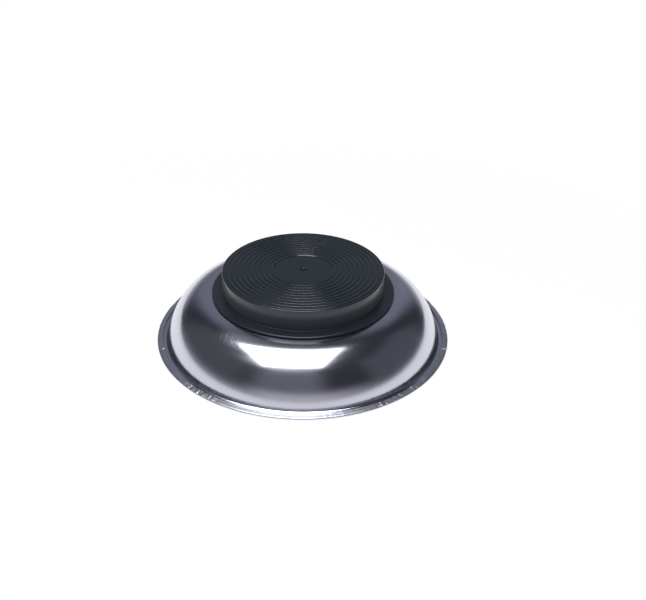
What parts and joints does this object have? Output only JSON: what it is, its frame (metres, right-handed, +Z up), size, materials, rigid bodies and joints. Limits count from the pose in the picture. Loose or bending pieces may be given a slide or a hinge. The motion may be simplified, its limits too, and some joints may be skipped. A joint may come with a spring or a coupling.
{
  "type": "magnetic parts tray",
  "caption": "Round stainless parts tray with a curved wall and hemmed rim, lying face down, with a ring magnet under a black ridged foot cover that holds it to steel.",
  "frame": {"origin": "centre of the rim's plane, on which the tray lies face down as in the picture", "axes": "+Z up along the axis of the round tray, from the rim through the base to the foot; a half turn about X stands it on its foot for use"},
  "size_m": [0.15, 0.15, 0.0365],
  "materials": {
    "polished_stainless": "polished",
    "black_moulding": "satin",
    "hard_ferrite": "matte",
    "zinc_plated_steel": "satin",
    "screw_steel": "satin",
    "black_rubber": "matte",
    "grey_foam": "matte",
    "clear_tape": "satin"
  },
  "bodies": {
    "root": {"bowl": "polished_stainless", "magnet_cover": "black_moulding", "ring_magnet": "hard_ferrite", "clamp_plate": "zinc_plated_steel", "clamp_screw": "screw_steel", "seal_washer": "black_rubber", "clamp_nut": "zinc_plated_steel", "foot_pad": "grey_foam", "flange_tape": "clear_tape"}
  },
  "joints": []
}
